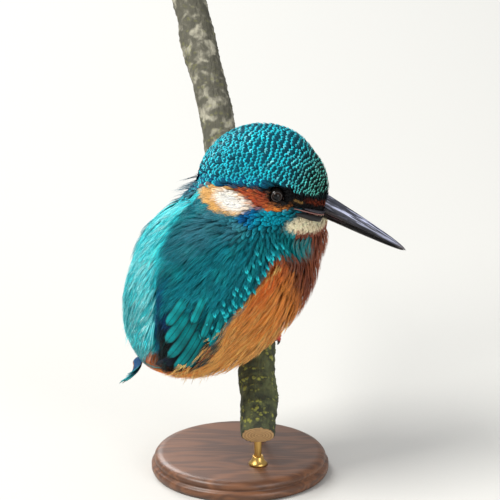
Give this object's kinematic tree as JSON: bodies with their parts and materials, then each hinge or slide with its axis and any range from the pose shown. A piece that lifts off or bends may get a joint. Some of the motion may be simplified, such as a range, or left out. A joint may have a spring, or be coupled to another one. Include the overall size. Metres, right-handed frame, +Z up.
{
  "type": "common kingfisher",
  "caption": "Life-size still model of a fluffed-up perched kingfisher, gripping a cut length of branch on a plain display stand",
  "frame": {"origin": "centre of the stand base's flat underside", "axes": "+Z up, the bill points towards +X, the bird's right side faces -Y, and the branch rises towards +Y"},
  "size_m": [0.1133, 0.1739, 0.1711],
  "materials": {
    "rufous_plumage": "soft rufous-orange breast and belly feathers; azure on the back",
    "cream_plumage": "soft cream throat and neck-side feathers",
    "teal_plumage": "silky blue-green feathers with pale cyan bars and spots",
    "azure_plumage": "silky bright azure feathers",
    "bill_horn": "black bill horn with a soft streaked shine",
    "eye_gloss": "wet dark brown eye",
    "foot_skin": "scaly orange-red skin",
    "claw_horn": "dark brown claw horn",
    "bark": "matt grey-olive bark with yellow-green lichen flecks",
    "base_wood": "dark satin-varnished wood",
    "rod_brass": "satin brass rod"
  },
  "bodies": {
    "root": {"trunk": "rufous_plumage", "neck": "cream_plumage", "head": "teal_plumage", "wing_right": "teal_plumage", "wing_left": "teal_plumage", "tail": "azure_plumage", "bill_upper": "bill_horn", "bill_lower": "bill_horn", "eye_right": "eye_gloss", "eye_left": "eye_gloss", "leg_right": "foot_skin", "leg_left": "foot_skin", "foot_right": "foot_skin", "foot_left": "foot_skin", "claw_right_inner": "claw_horn", "claw_right_middle": "claw_horn", "claw_right_outer": "claw_horn", "claw_right_hind": "claw_horn", "claw_left_inner": "claw_horn", "claw_left_middle": "claw_horn", "claw_left_outer": "claw_horn", "claw_left_hind": "claw_horn", "perch": "bark", "stand_base": "base_wood", "stand_rod_front": "rod_brass", "stand_rod_back": "rod_brass"}
  },
  "joints": []
}
